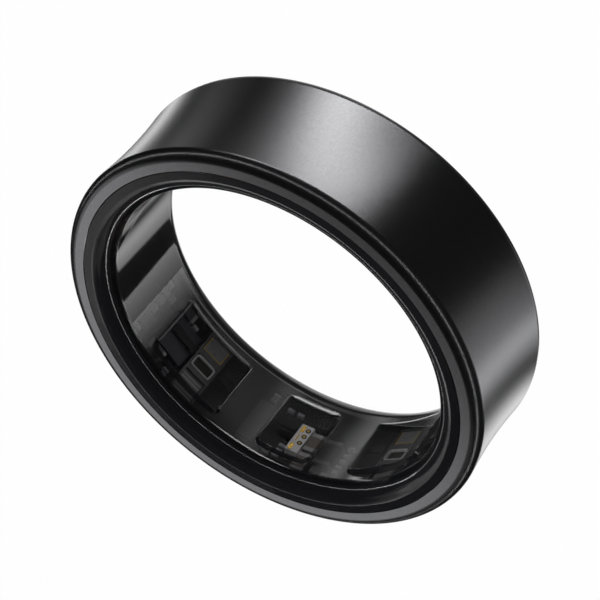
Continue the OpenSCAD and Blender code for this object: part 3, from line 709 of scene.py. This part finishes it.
def make_dies(gold, black):
    """The three light-emitting dies: gold, each on a round black seat."""
    parts = Parts()
    turn = np.linspace(0, 2 * math.pi, DIE_SIDES, endpoint=False)
    for z in LED_DIE_Z:
        for profile, kind in ((WELL_PROFILE, 1), (DIE_PROFILE, 0)):
            rings = [[(CHIP_TOP_R + depth, LED_COLUMN + r * math.cos(a), z + r * math.sin(a))
                      for a in turn] for r, depth in profile]
            parts.rings(LED_AZ, rings, kind, True)
    parts.build("led_die_set", [gold, black], "led_dies")


def make_diodes(pad, dark, stripes):
    """Three photodiodes in each sensor: a pale pad, a dark die and a finely striped block."""
    parts = Parts()
    for azimuth in HOUSING_AZ:
        for kind, (low, high) in enumerate(POCKETS):
            top = PAD_TOP_R if kind == 0 else DIODE_TOP_R
            parts.block(azimuth, top, POCKET_FLOOR_R, 0, (low + high) / 2, DIODE_W,
                        high - low - 2 * DIODE_GAP, kind)
    parts.build("photodiode_set", [pad, dark, stripes], "photodiodes")


def make_diode_frames(material):
    """A raised rounded frame round the middle photodiode of each sensor."""
    parts = Parts()
    low, high = POCKETS[1]
    length = high - low - 2 * DIODE_GAP
    for azimuth in HOUSING_AZ:
        rings = []
        for r, inset in FRAME_PROFILE:
            loop = rounded_loop(DIODE_W - 2 * inset, length - 2 * inset, FRAME_CORNER - inset)
            rings.append([(r, y, (low + high) / 2 + z) for y, z in loop])
        parts.rings(azimuth, rings, 0, False)
    parts.build("photodiode_frame_set", [material], "photodiode_frames")


def make_traces(gold):
    """A thin gold trace round three sides of the lower photodiode of each sensor."""
    parts = Parts()
    low, high = POCKETS[0]
    mid = (low + high) / 2
    half_w = DIODE_W / 2 - TRACE_INSET[0]
    half_l = (high - low) / 2 - DIODE_GAP - TRACE_INSET[1]
    sides = ((-half_w, 0, TRACE_W, 2 * half_l), (half_w, 0, TRACE_W, 2 * half_l),
             (0, half_l - TRACE_W / 2, 2 * half_w - TRACE_W, TRACE_W))
    for azimuth in HOUSING_AZ:
        for y, z, width, length in sides:
            parts.block(azimuth, TRACE_TOP_R, TRACE_LOW_R, y, mid + z, width, length, 0,
                        corner=0.01, bevel=0.006)
    parts.build("photodiode_trace_set", [gold], "photodiode_traces")


REPLACED = ("outer_shell", "inner_liner", "led_dies", "photodiodes", "photodiode_frames",
            "photodiode_traces")


def dress_nodes():
    """Gives every carried-over CAD node the material of its slot in the record."""
    finishes = node_materials()
    slots = [material["slot"] for material in frame["record"]["materials"]]
    for name, piece in frame["nodes"].items():
        if name in REPLACED:
            continue
        for place in piece.material_slots:
            slot = next(s for s in slots if s in place.material.name)
            place.material = finishes[slot]


# Studio

def direction(azimuth, elevation):
    """The unit vector towards an azimuth and an elevation."""
    a = math.radians(azimuth)
    e = math.radians(elevation)
    return Vector((math.cos(a) * math.cos(e), math.sin(a) * math.cos(e), math.sin(e)))


def add_lamp(name, centre_mm, wide_mm, high_mm, radiance, roll=0.0, soft=None, slant=0.0,
             upright=False):
    """A softbox that faces the ring, seen only in gloss, with its size and its brightness."""
    lamp = bpy.data.lights.new(name, "AREA")
    lamp.shape = "RECTANGLE"
    lamp.size = wide_mm * MM
    lamp.size_y = high_mm * MM
    lamp.energy = radiance * math.pi * lamp.size * lamp.size_y
    if soft:
        soften(lamp, soft, slant)
    piece = bpy.data.objects.new(name, lamp)
    bpy.context.scene.collection.objects.link(piece)
    centre = Vector(centre_mm) * MM
    facing = Vector((centre.x, centre.y, 0)) if upright else centre
    turn = facing.to_track_quat("Z", "Y").to_matrix().to_4x4()
    piece.matrix_world = (Matrix.Translation(centre) @ turn
                          @ Matrix.Rotation(math.radians(roll), 4, "Z"))
    piece.visible_camera = False
    piece.visible_transmission = False
    piece.visible_diffuse = False
    return piece


def math_node(tree, operation, *sources):
    """A Math node with its operation, whose sources are sockets or numbers."""
    made = tree.nodes.new("ShaderNodeMath")
    made.operation = operation
    for place, source in zip(made.inputs, sources):
        if isinstance(source, (int, float)):
            place.default_value = source
        else:
            tree.links.new(source, place)
    return made.outputs[0]


def soften(lamp, fades, slant):
    """Fades the softbox towards its sides, over shares of its width at low and high X and of
    its height at low and high Y. The slant leans the fades along X, towards high X at the top,
    or towards low X where it is below 0."""
    lamp.use_nodes = True
    tree = lamp.node_tree
    place = tree.nodes.new("ShaderNodeNewGeometry")
    split = tree.nodes.new("ShaderNodeSeparateXYZ")
    tree.links.new(place.outputs["Parametric"], split.inputs["Vector"])
    along_y = split.outputs["Y"]
    along_x = math_node(tree, "MULTIPLY_ADD", along_y, -slant, split.outputs["X"])
    low_x, high_x, low_y, high_y = fades
    start_x = max(0, -slant)
    end_x = 1 - max(0, slant)
    strength = None
    for source, dark_at, bright_at in ((along_x, start_x, start_x + low_x),
                                       (along_x, end_x, end_x - high_x),
                                       (along_y, 0, low_y),
                                       (along_y, 1, 1 - high_y)):
        if dark_at == bright_at:
            continue
        fade = tree.nodes.new("ShaderNodeMapRange")
        is_even = abs(dark_at - bright_at) > EVEN_FADE
        fade.interpolation_type = "LINEAR" if is_even else "SMOOTHSTEP"
        fade.inputs["From Min"].default_value = dark_at
        fade.inputs["From Max"].default_value = bright_at
        tree.links.new(source, fade.inputs["Value"])
        share = fade.outputs["Result"]
        strength = share if strength is None else math_node(tree, "MULTIPLY", strength, share)
    tree.links.new(strength, tree.nodes["Emission"].inputs["Strength"])


def add_key_lamp():
    """The large soft key light, which lights the diffuse colours and isn't seen in gloss."""
    key = add_lamp("key_soft", *KEY_LAMP)
    key.visible_diffuse = True
    key.visible_glossy = False


def seen_share(tree):
    """1 for rays from the camera and for those seen in gloss or through glass."""
    rays = tree.nodes.new("ShaderNodeLightPath").outputs
    first = math_node(tree, "MAXIMUM", rays["Is Camera Ray"], rays["Is Glossy Ray"])
    return math_node(tree, "MAXIMUM", first, rays["Is Transmission Ray"])


def make_world():
    """A white world for the camera and in gloss, with a weaker even light on matt surfaces."""
    world = bpy.data.worlds.new("studio")
    bpy.context.scene.world = world
    world.use_nodes = True
    tree = world.node_tree
    light = tree.nodes["Background"]
    white = tree.nodes.new("ShaderNodeBackground")
    for background, strength in ((light, WORLD_LIGHT), (white, WORLD_WHITE)):
        background.inputs["Color"].default_value = (1, 1, 1, 1)
        background.inputs["Strength"].default_value = strength
    mix = tree.nodes.new("ShaderNodeMixShader")
    tree.links.new(seen_share(tree), mix.inputs["Fac"])
    tree.links.new(light.outputs[0], mix.inputs[1])
    tree.links.new(white.outputs[0], mix.inputs[2])
    tree.links.new(mix.outputs[0], tree.nodes["World Output"].inputs["Surface"])


def bare_material(name):
    """A material with no shader yet, and its node tree."""
    material = bpy.data.materials.new(name)
    material.use_nodes = True
    tree = material.node_tree
    tree.nodes.remove(tree.nodes["Principled BSDF"])
    return material, tree


def make_floor():
    """A large pale floor, which looks nearly white and keeps the ring's shadow."""
    half = FLOOR_HALF
    corners = [(x, y, FLOOR_Z) for x, y in ((-half, -half), (half, -half), (half, half),
                                            (-half, half))]
    material, tree = bare_material("pale_floor")
    matt = tree.nodes.new("ShaderNodeBsdfDiffuse")
    matt.inputs["Color"].default_value = (FLOOR_GREY, FLOOR_GREY, FLOOR_GREY, 1)
    white = tree.nodes.new("ShaderNodeEmission")
    white.inputs["Strength"].default_value = 1.0
    mix = tree.nodes.new("ShaderNodeMixShader")
    share = math_node(tree, "MULTIPLY", seen_share(tree), FLOOR_WHITE_SHARE)
    tree.links.new(share, mix.inputs["Fac"])
    tree.links.new(matt.outputs[0], mix.inputs[1])
    tree.links.new(white.outputs[0], mix.inputs[2])
    tree.links.new(mix.outputs[0], tree.nodes["Material Output"].inputs["Surface"])
    floor = add_object("studio_floor", corners, [(0, 1, 2, 3)], [material])


def show_only_in_gloss(piece):
    """Leaves a piece of the studio seen only in gloss, so that it casts no shadow either."""
    for flag in ("visible_camera", "visible_diffuse", "visible_shadow", "visible_transmission"):
        setattr(piece, flag, False)


def make_dark_cloth():
    """Dark cloth round the studio, seen only in gloss, as photographers hang it so that a black
    and shiny object keeps its black. It leaves a window for the rim's softbox."""
    elevations = np.arange(CLOTH_EL[0], CLOTH_EL[1] + 1, CLOTH_STEP)
    azimuths = np.arange(0, 360, CLOTH_STEP)
    vertices = [direction(a, e) * CLOTH_R for e in elevations for a in azimuths]
    faces = []
    for row, e in enumerate(elevations[:-1]):
        for a, face in zip(azimuths, grid_faces(2, len(azimuths), False, True)):
            in_window = WINDOW_AZ[0] <= a < WINDOW_AZ[1] and WINDOW_EL[0] <= e < WINDOW_EL[1]
            if not in_window:
                faces.append(tuple(v + row * len(azimuths) for v in face))
    material = bpy.data.materials.new("dark_cloth")
    material.use_nodes = True
    shader = material.node_tree.nodes["Principled BSDF"]
    shader.inputs["Base Color"].default_value = (CLOTH_GREY, CLOTH_GREY, CLOTH_GREY, 1)
    shader.inputs["Roughness"].default_value = 1.0
    shader.inputs["Specular IOR Level"].default_value = 0.0
    cloth = add_object("studio_cloth", vertices, faces, [material])
    show_only_in_gloss(cloth)


def glow_material(name, strength):
    """A material that only gives off white light."""
    material, tree = bare_material(name)
    glow = tree.nodes.new("ShaderNodeEmission")
    glow.inputs["Strength"].default_value = strength
    tree.links.new(glow.outputs[0], tree.nodes["Material Output"].inputs["Surface"])
    return material


def make_light_strip():
    """A thin tilted hoop of light round the studio, seen only in gloss: it draws a fine line
    along the ring's rounded edges."""
    azimuths = np.arange(0, 360, STRIP_STEP)
    path_az, path_el, path_half = np.array(STRIP_PATH).T
    middle = np.interp(azimuths, path_az, path_el, period=360)
    half = np.interp(azimuths, path_az, path_half, period=360)
    vertices = [direction(a, e + side * h) * STRIP_R for side in (-1, 1)
                for a, e, h in zip(azimuths, middle, half)]
    faces = grid_faces(2, len(azimuths), False, True)
    is_dim = [STRIP_DIM_AZ[0] <= a < STRIP_DIM_AZ[1] for a in azimuths]
    glows = [glow_material("strip_bright", STRIP_BRIGHT), glow_material("strip_dim", STRIP_DIM)]
    strip = add_object("studio_strip", vertices, faces, glows, is_dim)
    show_only_in_gloss(strip)


def make_studio():
    make_world()
    make_floor()
    make_dark_cloth()
    make_light_strip()
    add_key_lamp()
    for name, centre, wide, high, radiance, more in LAMPS:
        add_lamp(name, centre, wide, high, radiance, **more)


# The scene

make_camera()
make_studio()
make_shell([shell_material("shell_black", (0.025, 0.025, 0.0258), 0.25),
            shell_material("rim_black", (0.03, 0.03, 0.031), 0.13),
            plain("shell_inside", (0.01, 0.01, 0.01), 0.6)])
make_liner(liner_materials())
make_dies(plain("die_gold", (1.0, 0.65, 0.18), 0.4),
          plain("well_black", (0.004, 0.004, 0.004), 0.8))
make_diodes(plain("pad_grey", (0.2, 0.2, 0.205), 0.45, grain=9000),
            plain("die_dark", (0.02, 0.019, 0.014), 0.5, grain=20000, spread=0.4),
            striped("stripe_grey", (0.12, 0.12, 0.12), (0.26, 0.26, 0.26)))
make_diode_frames(plain("frame_edge", (0.5, 0.5, 0.51), 0.45))
make_traces(plain("trace_gold", (0.4, 0.27, 0.05), 0.45, 0.2))
dress_nodes()

bpy.context.scene.view_settings.view_transform = "Standard"
